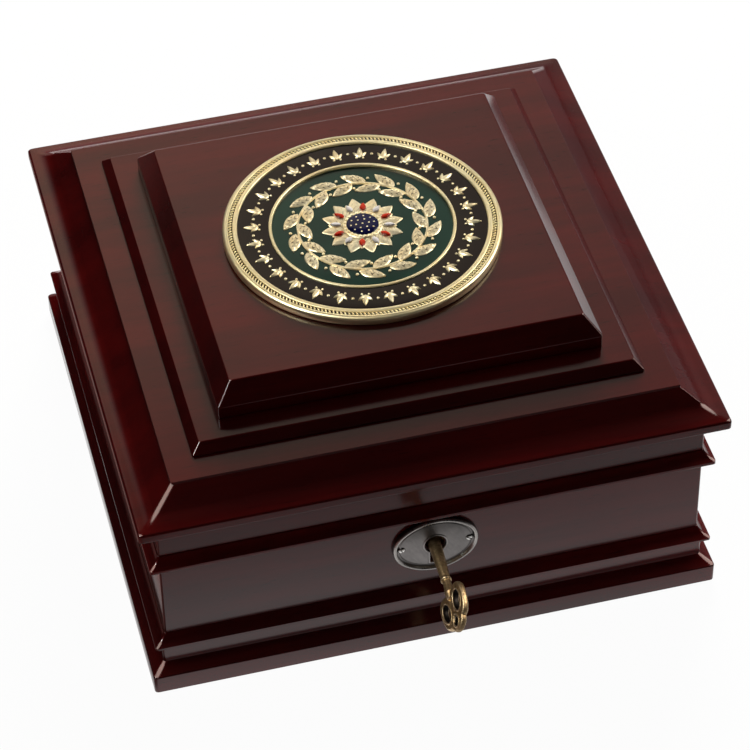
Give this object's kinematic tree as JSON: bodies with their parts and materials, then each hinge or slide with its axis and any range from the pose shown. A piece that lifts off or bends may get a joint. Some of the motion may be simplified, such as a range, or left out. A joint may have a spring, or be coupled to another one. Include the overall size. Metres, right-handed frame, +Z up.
{
  "type": "badge display case",
  "caption": "Square lidded wooden keepsake box with stepped, coved lid, enamelled medallion, moulded sides, rear hinges and a front box lock with its key.",
  "frame": {"origin": "middle of the underside, on the surface that the box stands on", "axes": "+Z up, the lock and key face -Y, the hinges +Y, +X to the right as seen from the front"},
  "size_m": [0.2032, 0.2365, 0.1058],
  "materials": {
    "mahogany_lacquer": "high-gloss dark mahogany lacquer",
    "velvet": "black short-pile velvet over card",
    "felt": "thin dark felt",
    "hinge_brass": "satin brass",
    "lock_brass": "satin brass",
    "lock_steel": "brushed steel",
    "antique_nickel": "antiqued dark nickel",
    "antique_brass": "antiqued brass with dark patina",
    "gilt": "bright gilt, struck",
    "black_enamel": "hard black enamel",
    "green_enamel": "dark green enamel",
    "blue_enamel": "dark blue enamel"
  },
  "bodies": {
    "box": {"base_board": "mahogany_lacquer", "base_felt": "felt", "escutcheon": "antique_nickel", "escutcheon_screws": "antique_nickel", "floor_lining": "velvet", "hinge_leaf_lower_left": "hinge_brass", "hinge_leaf_lower_right": "hinge_brass", "hinge_pin_left": "hinge_brass", "hinge_pin_right": "hinge_brass", "hinge_screws_lower": "hinge_brass", "lock_cap": "lock_brass", "lock_plate": "lock_brass", "lock_screws": "lock_brass", "plinth_moulding_back": "mahogany_lacquer", "plinth_moulding_front": "mahogany_lacquer", "plinth_moulding_left": "mahogany_lacquer", "plinth_moulding_right": "mahogany_lacquer", "wall_back": "mahogany_lacquer", "wall_front": "mahogany_lacquer", "wall_left": "mahogany_lacquer", "wall_lining_back": "velvet", "wall_lining_front": "velvet", "wall_lining_left": "velvet", "wall_lining_right": "velvet", "wall_right": "mahogany_lacquer"},
    "lid": {"band_studs": "gilt", "boss": "blue_enamel", "enamel_band": "black_enamel", "enamel_field": "green_enamel", "hinge_leaf_upper_left": "hinge_brass", "hinge_leaf_upper_right": "hinge_brass", "hinge_screws_upper": "hinge_brass", "lid_bead_back": "mahogany_lacquer", "lid_bead_front": "mahogany_lacquer", "lid_bead_left": "mahogany_lacquer", "lid_bead_right": "mahogany_lacquer", "lid_board": "mahogany_lacquer", "lid_lining": "velvet", "lid_rail_back": "mahogany_lacquer", "lid_rail_front": "mahogany_lacquer", "lid_rail_left": "mahogany_lacquer", "lid_rail_right": "mahogany_lacquer", "lid_side_lining_back": "velvet", "lid_side_lining_front": "velvet", "lid_side_lining_left": "velvet", "lid_side_lining_right": "velvet", "medallion_disc": "gilt", "middle_panel": "mahogany_lacquer", "rosette": "gilt", "strike_plate": "lock_brass", "strike_screws": "lock_brass", "top_panel": "mahogany_lacquer", "wreath": "gilt"},
    "key": {"key": "antique_brass"},
    "bolt": {"bolt": "lock_steel"}
  },
  "joints": [
    {"name": "lid_hinge", "type": "hinge", "parent": "box", "child": "lid", "pos_m": [0, 0.0974, 0.05665], "axis": [-1, 0, 0], "range_deg": [0, 95]},
    {"name": "key_turn", "type": "hinge", "parent": "box", "child": "key", "pos_m": [0, -0.08755, 0.0422], "axis": [0.0384, 0.9992, 0.0052], "range_deg": [-26, 334]},
    {"name": "bolt_slide", "type": "slide", "parent": "box", "child": "bolt", "axis": [1, 0, 0], "range_m": [-0.00029, 0.00371]}
  ],
  "couplings": [
    {"joint": "key_turn", "follows": "bolt_slide", "rad_per_m": 1570.8}
  ]
}
